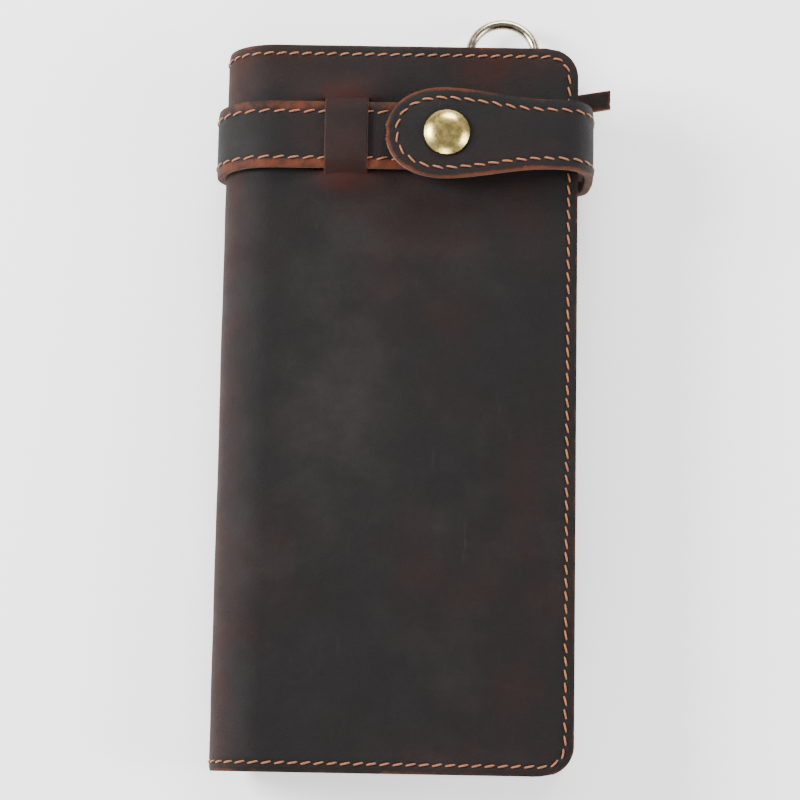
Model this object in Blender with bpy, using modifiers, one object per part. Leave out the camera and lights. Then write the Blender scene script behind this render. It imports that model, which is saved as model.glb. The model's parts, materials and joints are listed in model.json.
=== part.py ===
"""Long bifold chain wallet: leather cover, strap with snap, zip coin pocket, card slots and ring.

Frame: +X from the spine to the opening edge, +Y to the ring end, +Z up off the table.
The closed wallet lies on its back cover and on the strap that runs round it.
"""
import math

import bmesh
import bpy
from mathutils import Matrix, Vector

MM = 0.001

# Driving dimensions, in millimetres
LENGTH = 195.0          # along Y
WIDTH = 95.5            # along X, spine to opening edge
THICK = 28.0            # closed body, outer leather to outer leather
LEATHER = 1.8           # cover leather
CORNER_R = 8.0          # outer corners of the cover
STRAP_W = 18.0
STRAP_T = 2.2
STRAP_Y = 72.0          # centre line of the strap
STRAP_LIFT = 3.0        # how far the back cover bows up over the strap
GAP = 0.3               # clearance between touching pieces

EDGE_X = WIDTH / 2
END_Y = LENGTH / 2
SPINE_R = THICK / 2
SPINE_X = -EDGE_X + SPINE_R     # where the flat covers turn into the spine
SPINE_GAP = 0.15

# Snap and keeper
SNAP_X = 12.4
CAP_R = 6.2
BRIDGE_X = (-20.4, -8.8)
BRIDGE_T = 1.5
SLIT_HALF = STRAP_W / 2 + 0.6

# Strap levels
FRONT_MID = THICK + GAP + STRAP_T / 2
SNAP_ROOM = 1.7                 # height between strap and tab, taken by the press stud
TAB_MID = FRONT_MID + STRAP_T + SNAP_ROOM
TAB_NOSE_X = -3.7
STRAP_END_X = 24.0
STRAP_OUT_X = 52.7              # outer face of the strap beside the opening edge
SPLIT_Z = 15.0                  # height where the closing end bends

# Inner layers
PANEL_X = (-32.0, 45.0)
PANEL_TOP_Y = 89.8
PANEL_LOW_Y = -94.0
ZIP_Y = 84.8
ZIP_HALF = 3.2                  # half the window that shows the teeth
ZIP_X = (-29.0, 41.0)
SLIDER_X = 35.0
PULL_END_X = 57.5

RING_R = 9.1                    # wire centre line
RING_REST = -10.0               # the ring hangs down this far, in degrees
WIRE_R = 1.3
RING_X = 28.0
RING_HINGE = (93.4, 8.4)        # y, z of the swing axis

BLACK_BROWN = (0.035, 0.025, 0.022, 1)
RAW_BROWN = (0.20, 0.06, 0.025, 1)
BRASS = (0.55, 0.44, 0.20, 1)
NICKEL = (0.62, 0.58, 0.50, 1)
TAPE = (0.03, 0.028, 0.027, 1)


def clear_scene():
    for obj in list(bpy.data.objects):
        bpy.data.objects.remove(obj, do_unlink=True)


def new_collection(name):
    col = bpy.data.collections.new(name)
    bpy.context.scene.collection.children.link(col)
    return col


clear_scene()
PARTS = new_collection("chain_wallet")
CUTTERS = new_collection("cutters")


def material(name, colour, roughness, metallic=0.0):
    mat = bpy.data.materials.new(name)
    mat.use_nodes = True
    shader = mat.node_tree.nodes["Principled BSDF"]
    shader.inputs["Base Color"].default_value = colour
    shader.inputs["Roughness"].default_value = roughness
    shader.inputs["Metallic"].default_value = metallic
    return mat


def finish(obj, look, smooth=False):
    """Give a piece its own material and put it in the wallet's collection."""
    colour, roughness, metallic = look
    obj.data.materials.clear()
    obj.data.materials.append(material(obj.name, colour, roughness, metallic))
    for col in list(obj.users_collection):
        col.objects.unlink(obj)
    PARTS.objects.link(obj)
    if smooth:
        obj.data.shade_smooth()
        obj.data.set_sharp_from_angle(angle=math.radians(35))
    return obj


LEATHER_LOOK = (BLACK_BROWN, 0.5, 0.0)
SUEDE_LOOK = (RAW_BROWN, 0.8, 0.0)
BRASS_LOOK = (BRASS, 0.3, 1.0)
NICKEL_LOOK = (NICKEL, 0.25, 1.0)
TAPE_LOOK = (TAPE, 0.9, 0.0)


def arc(cx, cy, radius, start_deg, end_deg, steps):
    points = []
    for i in range(steps + 1):
        a = math.radians(start_deg + (end_deg - start_deg) * i / steps)
        points.append((cx + radius * math.cos(a), cy + radius * math.sin(a)))
    return points


def rounded_outline(x0, x1, y0, y1, r_left, r_right, steps=6):
    """Rectangle whose left and right corners have their own radii."""
    points = []
    corners = [(x1, y0, r_right, -90), (x1, y1, r_right, 0), (x0, y1, r_left, 90), (x0, y0, r_left, 180)]
    for x, y, r, start in corners:
        if r <= 0:
            points.append((x, y))
            continue
        cx = x - r if x == x1 else x + r
        cy = y + r if y == y0 else y - r
        points += arc(cx, cy, r, start, start + 90, steps)
    return points


def outline_curve(name, points, thick):
    """Closed 2D outline, extruded both ways to its thickness, in millimetres."""
    curve = bpy.data.curves.new(name, "CURVE")
    curve.dimensions = "2D"
    curve.fill_mode = "BOTH"
    curve.extrude = thick / 2 * MM
    spline = curve.splines.new("POLY")
    spline.points.add(len(points) - 1)
    for point, (x, y) in zip(spline.points, points):
        point.co = (x * MM, y * MM, 0, 1)
    spline.use_cyclic_u = True
    obj = bpy.data.objects.new(name, curve)
    bpy.context.scene.collection.objects.link(obj)
    return obj


def to_mesh(obj):
    """Turn a curve object into a welded mesh object of the same name."""
    bpy.context.view_layer.update()
    graph = bpy.context.evaluated_depsgraph_get()
    mesh = bpy.data.meshes.new_from_object(obj.evaluated_get(graph))
    bm = bmesh.new()
    bm.from_mesh(mesh)
    bmesh.ops.remove_doubles(bm, verts=bm.verts, dist=1e-6)
    bm.to_mesh(mesh)
    bm.free()
    name = obj.name
    matrix = obj.matrix_world.copy()
    bpy.data.objects.remove(obj, do_unlink=True)
    made = bpy.data.objects.new(name, mesh)
    bpy.context.scene.collection.objects.link(made)
    made.matrix_world = matrix
    return made


def flat_piece(name, points, z0, thick, look):
    """Flat piece with the given plan outline, lying from z0 upwards."""
    obj = outline_curve(name, points, thick)
    obj.location = (0, 0, (z0 + thick / 2) * MM)
    return finish(to_mesh(obj), look)


def box_mesh(name, low, high):
    mesh = bpy.data.meshes.new(name)
    bm = bmesh.new()
    bmesh.ops.create_cube(bm, size=1.0)
    size = [(b - a) * MM for a, b in zip(low, high)]
    centre = [(a + b) / 2 * MM for a, b in zip(low, high)]
    bmesh.ops.scale(bm, vec=size, verts=bm.verts)
    bmesh.ops.translate(bm, vec=centre, verts=bm.verts)
    bm.to_mesh(mesh)
    bm.free()
    obj = bpy.data.objects.new(name, mesh)
    bpy.context.scene.collection.objects.link(obj)
    return obj


def box_piece(name, low, high, look):
    return finish(box_mesh(name, low, high), look)


def cutter(obj):
    """Hide a guide solid and keep it with the other cutters."""
    obj.hide_render = True
    obj.display_type = "WIRE"
    for col in list(obj.users_collection):
        col.objects.unlink(obj)
    CUTTERS.objects.link(obj)
    return obj


def boolean(obj, other, operation):
    mod = obj.modifiers.new(operation.lower(), "BOOLEAN")
    mod.operation = operation
    mod.object = cutter(other)
    mod.solver = "EXACT"


def swept_sheet(name, path, rows, thick, lift=None):
    """Leather sheet whose mid line is an XZ path carried along Y rows, thickened by Solidify."""
    mesh = bpy.data.meshes.new(name)
    bm = bmesh.new()
    grid = []
    for y in rows:
        line = []
        for x, z in path:
            up = lift(y) * max(0.0, 1 - 2 * z / THICK) if lift else 0
            line.append(bm.verts.new((x * MM, y * MM, (z + up) * MM)))
        grid.append(line)
    for low, high in zip(grid, grid[1:]):
        for i in range(len(path) - 1):
            bm.faces.new((low[i], low[i + 1], high[i + 1], high[i]))
    bmesh.ops.recalc_face_normals(bm, faces=bm.faces)
    bm.to_mesh(mesh)
    bm.free()
    obj = bpy.data.objects.new(name, mesh)
    bpy.context.scene.collection.objects.link(obj)
    mod = obj.modifiers.new("thickness", "SOLIDIFY")
    mod.thickness = thick * MM
    mod.offset = 0
    mod.use_even_offset = True
    return obj


def super_arc(cx, cz, a, b, power, start_deg, end_deg, steps):
    """Quarter of a superellipse, measured from +X towards +Z."""
    points = []
    for i in range(steps + 1):
        t = math.radians(start_deg + (end_deg - start_deg) * i / steps)
        c, s = math.cos(t), math.sin(t)
        x = cx + a * math.copysign(abs(c) ** (2 / power), c)
        z = cz + b * math.copysign(abs(s) ** (2 / power), s)
        points.append((x, z))
    return points


def strap_lift(y):
    """Height of the back cover above the table: flat low down, bowed up over the strap."""
    start, end = 20.0, 58.0
    t = min(max((y - start) / (end - start), 0.0), 1.0)
    return STRAP_LIFT * t * t * (3 - 2 * t)


def cover_rows():
    return [-END_Y, 20.0, 26.0, 32.0, 39.0, 46.0, 52.0, 58.0, END_Y]


def make_covers():
    """Outer leather: back cover, spine and front cover with the keeper over the strap."""
    half = LEATHER / 2
    outline = rounded_outline(SPINE_X + SPINE_GAP, EDGE_X, -END_Y, END_Y, 0, CORNER_R)
    back = swept_sheet("cover_back", [(SPINE_X - 5, half), (EDGE_X + 5, half)],
                       [-END_Y - 5] + cover_rows()[1:-1] + [END_Y + 5], LEATHER, strap_lift)
    stencil = to_mesh(outline_curve("back_stencil", outline, 40.0))
    boolean(back, stencil, "INTERSECT")
    finish(back, LEATHER_LOOK)

    path = []
    for x, z in arc(SPINE_X - SPINE_GAP, THICK / 2, SPINE_R - half, 270, 90, 16):
        path.append((x, z))
    spine = swept_sheet("cover_spine", path, cover_rows(), LEATHER, strap_lift)
    finish(spine, LEATHER_LOOK, smooth=True)

    front = outline_curve("cover_front", outline, LEATHER)
    front.location = (0, 0, (THICK - half) * MM)
    front = to_mesh(front)
    top = FRONT_MID + STRAP_T / 2 + GAP
    foot = SLIT_HALF + 4.5
    profile = [(-foot, THICK - 1.0), (foot, THICK - 1.0), (foot, THICK + 0.2),
               (SLIT_HALF + 0.8, top + BRIDGE_T), (-SLIT_HALF - 0.8, top + BRIDGE_T), (-foot, THICK + 0.2)]
    bridge = outline_curve("bridge_solid", profile, BRIDGE_X[1] - BRIDGE_X[0])
    turn = Matrix(((0, 0, 1), (1, 0, 0), (0, 1, 0))).to_4x4()
    bridge.matrix_world = Matrix.Translation(Vector((sum(BRIDGE_X) / 2, STRAP_Y, 0)) * MM) @ turn
    bridge = to_mesh(bridge)
    boolean(front, bridge, "UNION")
    tunnel = box_mesh("strap_tunnel", (BRIDGE_X[0] - 3, STRAP_Y - SLIT_HALF, THICK),
                      (BRIDGE_X[1] + 3, STRAP_Y + SLIT_HALF, top))
    boolean(front, tunnel, "DIFFERENCE")
    window = box_mesh("keeper_window", (BRIDGE_X[0], STRAP_Y - SLIT_HALF, THICK - 4),
                      (BRIDGE_X[1], STRAP_Y + SLIT_HALF, THICK + 0.1))
    boolean(front, window, "DIFFERENCE")
    finish(front, LEATHER_LOOK)


def tab_outline():
    """Closing end seen from above: round nose round the snap, narrowing to the strap."""
    nose_r = 12.3
    tip = TAB_NOSE_X
    upper = []
    for i in range(9):
        t = math.radians(90 * i / 8)
        x = tip + 15.0 * (1 - math.cos(t))
        y = nose_r * math.sin(t) ** 0.85
        upper.append((x, y))
    shoulder = 12
    for i in range(1, shoulder + 1):
        t = i / shoulder
        ease = t * t * (3 - 2 * t)
        x = tip + 15.0 + 28.0 * t
        y = nose_r + (STRAP_W / 2 + 0.4 - nose_r) * ease
        upper.append((x, y))
    upper.append((STRAP_OUT_X + 3, STRAP_W / 2 + 0.4))
    lower = [(x, -y) for x, y in reversed(upper)]
    points = upper + lower[:-1]
    return [(x, y + STRAP_Y) for x, y in points]


def make_strap():
    """Strap in four lengths: under the keeper, round the spine, across the back, closing tab."""
    low_y, high_y = STRAP_Y - STRAP_W / 2, STRAP_Y + STRAP_W / 2
    front = outline_curve("strap_front", rounded_outline(SPINE_X + SPINE_GAP, STRAP_END_X, low_y, high_y,
                                                         0, 6.0), STRAP_T)
    front.location = (0, 0, FRONT_MID * MM)
    finish(to_mesh(front), LEATHER_LOOK)

    out = SPINE_R + GAP + STRAP_T / 2
    cx = SPINE_X - SPINE_GAP
    lower = super_arc(cx, THICK / 2, out, THICK / 2 - STRAP_T / 2, 2, 270, 180, 8)
    upper = super_arc(cx, THICK / 2, out, out, 2, 180, 90, 8)
    spine = swept_sheet("strap_spine", lower + upper[1:], [low_y, high_y], STRAP_T)
    finish(spine, LEATHER_LOOK, smooth=True)

    side = STRAP_OUT_X - STRAP_T / 2
    bend = super_arc(43.0, SPLIT_Z - SPINE_GAP, side - 43.0, SPLIT_Z - SPINE_GAP - STRAP_T / 2, 4, 270, 360, 12)
    path = [(SPINE_X + SPINE_GAP, STRAP_T / 2)] + bend
    back = swept_sheet("strap_back", path, [low_y, high_y], STRAP_T)
    finish(back, LEATHER_LOOK, smooth=True)

    base = SPLIT_Z + SPINE_GAP
    turn = super_arc(40.0, base, side - 40.0, TAB_MID - base, 3, 0, 90, 12)
    tab = swept_sheet("strap_tab", turn + [(TAB_NOSE_X - 4, TAB_MID)], [STRAP_Y - 16, STRAP_Y + 16], STRAP_T)
    stencil = to_mesh(outline_curve("tab_stencil", tab_outline(), 90.0))
    boolean(tab, stencil, "INTERSECT")
    finish(tab, LEATHER_LOOK)


def turned(name, profile, x, y, z, look, steps=24):
    """Turned piece: profile of (radius, height) run down its outer side, axis along Z."""
    mesh = bpy.data.meshes.new(name)
    bm = bmesh.new()
    verts = [bm.verts.new((r * MM, 0, h * MM)) for r, h in profile]
    for a, b in zip(verts, verts[1:]):
        bm.edges.new((a, b))
    bm.to_mesh(mesh)
    bm.free()
    obj = bpy.data.objects.new(name, mesh)
    bpy.context.scene.collection.objects.link(obj)
    obj.location = (x * MM, y * MM, z * MM)
    mod = obj.modifiers.new("turn", "SCREW")
    mod.steps = steps
    mod.render_steps = steps
    mod.use_merge_vertices = True
    mod.merge_threshold = 1e-6
    return finish(obj, look, smooth=True)


def make_snap():
    """Press stud: cap and socket ring on the tab, stud on the strap below."""
    tab_top = TAB_MID + STRAP_T / 2
    cap = [(0, 2.3), (2.5, 2.2), (4.6, 1.75), (5.8, 1.0), (CAP_R, 0.35), (CAP_R, 0.0), (0, 0)]
    turned("snap_cap", cap, SNAP_X, STRAP_Y, tab_top + 0.05, BRASS_LOOK)
    tab_low = TAB_MID - STRAP_T / 2
    strap_top = FRONT_MID + STRAP_T / 2
    stud = [(0, 1.45), (1.6, 1.45), (1.9, 1.1), (1.7, 0.7), (3.6, 0.5), (3.6, 0.05), (0, 0.05)]
    turned("snap_stud", stud, SNAP_X, STRAP_Y, strap_top, NICKEL_LOOK, 20)
    socket = outline_curve("snap_socket", arc(0, 0, 4.8, 0, 345, 23), 0.9)
    socket.location = (SNAP_X * MM, STRAP_Y * MM, (tab_low - 0.5) * MM)
    socket = to_mesh(socket)
    hole = bmesh_cylinder("socket_hole", 2.3, 6.0, SNAP_X, STRAP_Y, tab_low)
    boolean(socket, hole, "DIFFERENCE")
    finish(socket, BRASS_LOOK)


def make_back_half():
    """Pocket panel and zipped coin pocket sewn to the back cover."""
    x0, x1 = PANEL_X
    panel = rounded_outline(x0, x1, PANEL_LOW_Y, PANEL_TOP_Y, 2, 6, 4)
    flat_piece("back_pocket_panel", panel, 8.2, 1.0, SUEDE_LOOK)
    coin = rounded_outline(x0 + 1, x1 - 0.5, PANEL_LOW_Y + 1, PANEL_TOP_Y, 2, 5, 4)
    flat_piece("coin_pocket_back", coin, 9.5, 0.8, SUEDE_LOOK)
    wall = 4.0
    inner = rounded_outline(x0 + 1 + wall, x1 - 0.5 - wall, PANEL_LOW_Y + 1 + wall, PANEL_TOP_Y + 5, 2, 2, 2)
    gusset_outline = rounded_outline(x0 + 1, x1 - 0.5, PANEL_LOW_Y + 1, ZIP_Y - 5.5, 2, 5, 4)
    gusset = outline_curve("coin_pocket_gusset", gusset_outline, 1.1)
    gusset.location = (0, 0, 11.15 * MM)
    gusset = to_mesh(gusset)
    boolean(gusset, to_mesh(outline_curve("gusset_hollow", inner, 40.0)), "DIFFERENCE")
    finish(gusset, SUEDE_LOOK)
    front = rounded_outline(x0 + 1, x1 - 0.5, PANEL_LOW_Y + 1, ZIP_Y - ZIP_HALF, 2, 5, 4)
    flat_piece("coin_pocket_front", front, 12.4, 1.0, LEATHER_LOOK)
    strip = rounded_outline(x0 + 1, x1 - 0.5, ZIP_Y + ZIP_HALF, PANEL_TOP_Y, 0.6, 0.6, 2)
    flat_piece("coin_pocket_strip", strip, 12.4, 1.0, LEATHER_LOOK)
    zx0, zx1 = ZIP_X
    for side, sign in (("lower", -1), ("upper", 1)):
        near, far = ZIP_Y + sign * 1.5, ZIP_Y + sign * 5.2
        box_piece("zip_tape_" + side, (zx0 - 2, min(near, far), 11.6), (zx1 + 2, max(near, far), 12.1), TAPE_LOOK)
        make_teeth("zip_teeth_" + side, sign, zx0, zx1)
    for end, x in (("closed", zx1 + 0.4), ("open", zx0 - 1.6)):
        box_piece("zip_stop_" + end, (x, ZIP_Y - 1.3, 11.9), (x + 1.2, ZIP_Y + 1.3, 13.3), BRASS_LOOK)


def make_teeth(name, sign, x0, x1):
    """Row of zip teeth on one backing rail, the other row's pitch offset by half."""
    pitch = 2.8
    offset = 0.0 if sign > 0 else pitch / 2
    near, far = ZIP_Y + sign * 0.15, ZIP_Y + sign * 1.35
    rail_a, rail_b = ZIP_Y + sign * 0.9, far
    outline = [(x0, rail_b), (x1 - 0.1, rail_b), (x1 - 0.1, rail_a)]
    count = int((x1 - x0 - offset - 1.2) / pitch)
    for i in reversed(range(count)):
        x = x0 + offset + 0.4 + i * pitch
        outline += [(x + 1.2, rail_a), (x + 1.2, near), (x, near), (x, rail_a)]
    outline.append((x0, rail_a))
    if sign < 0:
        outline.reverse()
    flat_piece(name, outline, 12.0, 0.9, BRASS_LOOK)


def make_slider():
    """Zip slider riding above the teeth, with a leather pull on its bridge."""
    body = rounded_outline(SLIDER_X - 5, SLIDER_X + 4, ZIP_Y - 2.9, ZIP_Y + 2.9, 2.2, 1.2, 3)
    slider = flat_piece("zip_slider", body, 13.6, 0.7, BRASS_LOOK)
    post = box_mesh("slider_post", (SLIDER_X - 1.0, ZIP_Y - 0.8, 14.1), (SLIDER_X + 1.0, ZIP_Y + 0.8, 16.1))
    boolean(slider, post, "UNION")
    outline = rounded_outline(SLIDER_X - 4.5, PULL_END_X, ZIP_Y - 2.6, ZIP_Y + 2.6, 2.0, 0.4, 4)
    pull = flat_piece("zip_pull", outline, 14.6, 1.2, SUEDE_LOOK)
    eye = bmesh_cylinder("pull_eye", 1.6, 6.0, SLIDER_X, ZIP_Y, 15.2)
    boolean(pull, eye, "DIFFERENCE")


def bmesh_cylinder(name, radius, height, x, y, z):
    mesh = bpy.data.meshes.new(name)
    bm = bmesh.new()
    bmesh.ops.create_cone(bm, cap_ends=True, segments=16, radius1=radius * MM, radius2=radius * MM,
                          depth=height * MM)
    bmesh.ops.translate(bm, vec=(x * MM, y * MM, z * MM), verts=bm.verts)
    bm.to_mesh(mesh)
    bm.free()
    obj = bpy.data.objects.new(name, mesh)
    bpy.context.scene.collection.objects.link(obj)
    return obj


def make_front_half():
    """Card slots in two columns on a base panel, open towards the spine."""
    x0, x1 = PANEL_X
    base = rounded_outline(x0, x1, PANEL_LOW_Y, PANEL_TOP_Y, 2, 6, 4)
    flat_piece("card_base_panel", base, 19.9, 1.0, SUEDE_LOOK)
    middle = (PANEL_LOW_Y + PANEL_TOP_Y) / 2
    columns = (("lower", PANEL_LOW_Y + 1, middle - 0.8), ("upper", middle + 0.8, PANEL_TOP_Y - 1))
    for column, y0, y1 in columns:
        for step in range(3):
            outline = rounded_outline(x0 + 12 + 13 * step, x1 - 0.5, y0, y1, 2, 2, 3)
            flat_piece(f"card_slot_{column}_{step + 1}", outline, 18.8 - 1.1 * step, 0.8, LEATHER_LOOK)


def make_ring():
    """Chain ring held by a folded leather loop at the top edge."""
    hinge_y, hinge_z = RING_HINGE
    bpy.ops.mesh.primitive_torus_add(major_radius=RING_R * MM, minor_radius=WIRE_R * MM,
                                     major_segments=36, minor_segments=10)
    ring = bpy.context.object
    ring.name = "chain_ring"
    tilt = Matrix.Rotation(math.radians(RING_REST), 4, "X")
    ring.data.transform(tilt @ Matrix.Translation((0, RING_R * MM, 0)))
    ring.location = (RING_X * MM, hinge_y * MM, hinge_z * MM)
    finish(ring, NICKEL_LOOK, smooth=True)

    loop_t = 1.1
    mid_r = WIRE_R + 0.9 + loop_t / 2
    points = [(hinge_y - 16, 5.75), (hinge_y - 3.2, 5.75)]
    points += arc(hinge_y, hinge_z, mid_r, 215, 505, 14)
    points += [(hinge_y - 3.2, 7.0), (hinge_y - 16, 7.0)]
    mesh_loop = swept_sheet("ring_loop", points, [0, 6.0], loop_t)
    mesh_loop.matrix_world = (Matrix.Translation(Vector((RING_X + 3.0, 0, 0)) * MM)
                              @ Matrix(((0, -1, 0), (1, 0, 0), (0, 0, 1))).to_4x4())
    finish(mesh_loop, SUEDE_LOOK, smooth=True)


make_covers()
make_strap()
make_snap()
make_back_half()
make_slider()
make_front_half()
make_ring()
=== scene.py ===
"""Looks of the long chain wallet: waxed leather covers, stitched strap, snap, ring and inner pockets."""
import json
import math

import bmesh
import bpy
from mathutils import Matrix, Vector, noise


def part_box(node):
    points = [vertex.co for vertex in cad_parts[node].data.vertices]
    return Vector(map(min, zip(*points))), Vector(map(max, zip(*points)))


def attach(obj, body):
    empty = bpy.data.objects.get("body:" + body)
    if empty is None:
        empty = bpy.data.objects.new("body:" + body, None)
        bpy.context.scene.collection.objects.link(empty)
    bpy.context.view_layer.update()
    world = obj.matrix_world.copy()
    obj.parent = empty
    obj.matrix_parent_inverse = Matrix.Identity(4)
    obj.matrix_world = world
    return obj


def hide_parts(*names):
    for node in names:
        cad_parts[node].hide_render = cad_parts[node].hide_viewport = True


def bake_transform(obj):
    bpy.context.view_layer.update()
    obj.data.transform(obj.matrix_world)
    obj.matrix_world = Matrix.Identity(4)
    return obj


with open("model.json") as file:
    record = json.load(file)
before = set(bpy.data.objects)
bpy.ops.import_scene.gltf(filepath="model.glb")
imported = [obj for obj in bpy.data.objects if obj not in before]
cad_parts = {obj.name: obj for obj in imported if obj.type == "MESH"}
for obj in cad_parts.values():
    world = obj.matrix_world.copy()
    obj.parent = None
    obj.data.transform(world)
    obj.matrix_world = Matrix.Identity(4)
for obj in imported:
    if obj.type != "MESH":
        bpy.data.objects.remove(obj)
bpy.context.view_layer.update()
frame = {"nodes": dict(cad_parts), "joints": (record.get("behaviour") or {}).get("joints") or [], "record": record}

MM = 0.001


def node_box(name):
    """Lowest and highest corner of a CAD node, in millimetres."""
    low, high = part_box(name)
    return [c / MM for c in low], [c / MM for c in high]


# Sizes taken from the frame, in millimetres
_, FRONT_HIGH = node_box("cover_front")
SPINE_LOW, SPINE_HIGH = node_box("cover_spine")
STRAP_LOW, STRAP_HIGH = node_box("strap_front")
TAB_LOW, TAB_HIGH = node_box("strap_tab")
CAP_LOW, CAP_HIGH = node_box("snap_cap")
PULL_LOW, PULL_HIGH = node_box("zip_pull")
RING_LOW, RING_HIGH = node_box("chain_ring")
PANEL_LOW, PANEL_HIGH = node_box("back_pocket_panel")
_, CARD_PANEL_HIGH = node_box("card_base_panel")

# Body and leather, in millimetres
THICK = SPINE_HIGH[2]
SPINE_R = THICK / 2
TURN_X = SPINE_LOW[0] + SPINE_R
EDGE_X = FRONT_HIGH[0]
END_Y = FRONT_HIGH[1]
LEATHER = 1.8
CORNER_R = 8.0

# Strap, its tab and the snap
STRAP_T = 2.2
STRAP_Y = (STRAP_LOW[1] + STRAP_HIGH[1]) / 2
STRAP_HALF = (STRAP_HIGH[1] - STRAP_LOW[1]) / 2
FRONT_MID = (STRAP_LOW[2] + STRAP_HIGH[2]) / 2
TAB_MID = TAB_HIGH[2] - STRAP_T / 2
TAB_NOSE_X = TAB_LOW[0]
TAB_NOSE_R = (TAB_HIGH[1] - TAB_LOW[1]) / 2
STRAP_OUT_X = TAB_HIGH[0]
SPLIT_Z = 15.0
STRAP_LIFT = 3.0
SNAP_X = (CAP_LOW[0] + CAP_HIGH[0]) / 2
CAP_R = (CAP_HIGH[0] - CAP_LOW[0]) / 2

# Keeper: the strip of the front cover between two slits, with the strap under it
BRIDGE_X = (-20.4, -8.8)
SLIT_HALF = STRAP_HALF + 0.6
KEEPER_X = sum(BRIDGE_X) / 2
KEEPER_TOP = FRONT_HIGH[2]
KEEPER_T = 1.5

# Length of a cover's sheet from the middle of the spine to where it turns flat
TURN_LENGTH = math.pi / 2 * (SPINE_R - LEATHER / 2)

# Bends of the strap beside the opening edge: where they start, and how square they are
BACK_BEND_X, BACK_BEND_POWER = 43.0, 4
TAB_BEND_X, TAB_BEND_POWER = 40.0, 3
STRAP_GAP = 0.3
SPLIT_GAP = 0.15
STRAP_CORNER = 5.0
TAB_NOSE = 15.0
TAB_EASE = 28.0

# Seams: distance from the edge, stitch length with its gap, thread and the groove it sits in
COVER_INSET, STRAP_INSET, TAB_INSET = 2.3, 2.6, 2.7
COVER_PITCH, STRAP_PITCH, TAB_PITCH = 3.4, 3.8, 3.8 * 0.97
STITCH_SHARE = 0.80
STITCH_START = 0.4
STITCH_SLANT = 0.22
THREAD_R = 0.27
GROOVE = 0.20

# Ring wire, the ring's tilt at rest, and how deep a pocket wall is sewn into its cover
WIRE_R = 1.3
RING_REST = -10.0
SEWN_IN = 0.2

# Angles above which an edge is drawn crisp or rounded off
SHARP_ANGLE = 48
BEVEL_ANGLE = 50
TINY = 1e-9

# Camera, in metres and degrees
LENS, SENSOR = 108.5, 36.0
CAMERA_PLACE = (0.0066, -0.0990, 0.6595)
CAMERA_TURN = (8.95, 0.34, 1.01)

# Lights: name, place in metres, size in metres, power in watts
LIGHTS = (
    ("key", (-0.95, 0.25, 0.62), 0.55, 34.0),
    ("top", (0.15, 1.05, 0.60), 0.55, 17.0),
    ("right", (0.95, -0.1, 0.55), 0.6, 13.0),
    ("near", (-0.1, -1.05, 0.6), 0.6, 11.0),
)


# ---------------------------------------------------------------- camera, floor and light

def aim_camera():
    """Camera above the lower half of the wallet, tipped a little towards the ring end."""
    data = bpy.data.cameras.new("camera")
    data.lens = LENS
    data.sensor_width = SENSOR
    data.clip_start, data.clip_end = 0.01, 20.0
    cam = bpy.data.objects.new("camera", data)
    bpy.context.scene.collection.objects.link(cam)
    cam.location = CAMERA_PLACE
    cam.rotation_euler = [math.radians(angle) for angle in CAMERA_TURN]
    bpy.context.scene.camera = cam


def area_light(name, place, size, power):
    """Round soft light that looks at the origin."""
    data = bpy.data.lights.new(name, "AREA")
    data.shape = "DISK"
    data.size = size
    data.energy = power
    lamp = bpy.data.objects.new(name, data)
    bpy.context.scene.collection.objects.link(lamp)
    lamp.location = place
    lamp.rotation_euler = (-Vector(place)).to_track_quat("-Z", "Y").to_euler()


def build_stage():
    """Pale floor, even surround, and broad low lights on four sides, strongest from the spine."""
    mesh = bpy.data.meshes.new("floor")
    bm = bmesh.new()
    bmesh.ops.create_grid(bm, x_segments=1, y_segments=1, size=3.0)
    bm.to_mesh(mesh)
    bm.free()
    floor = bpy.data.objects.new("floor", mesh)
    bpy.context.scene.collection.objects.link(floor)
    floor.location = (0, 0, -0.0002)
    mat = bpy.data.materials.new("floor_white")
    mat.use_nodes = True
    shader = mat.node_tree.nodes["Principled BSDF"]
    shader.inputs["Base Color"].default_value = (0.90, 0.90, 0.90, 1)
    shader.inputs["Roughness"].default_value = 0.85
    shader.inputs["Emission Color"].default_value = (1, 1, 1, 1)
    shader.inputs["Emission Strength"].default_value = 0.55
    mesh.materials.append(mat)
    world = bpy.data.worlds.new("surround")
    world.use_nodes = True
    world.node_tree.nodes["Background"].inputs["Color"].default_value = (1, 1, 1, 1)
    world.node_tree.nodes["Background"].inputs["Strength"].default_value = 0.40
    bpy.context.scene.world = world
    for name, place, size, power in LIGHTS:
        area_light(name, place, size, power)


aim_camera()
build_stage()


# ---------------------------------------------------------------- materials

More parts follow.
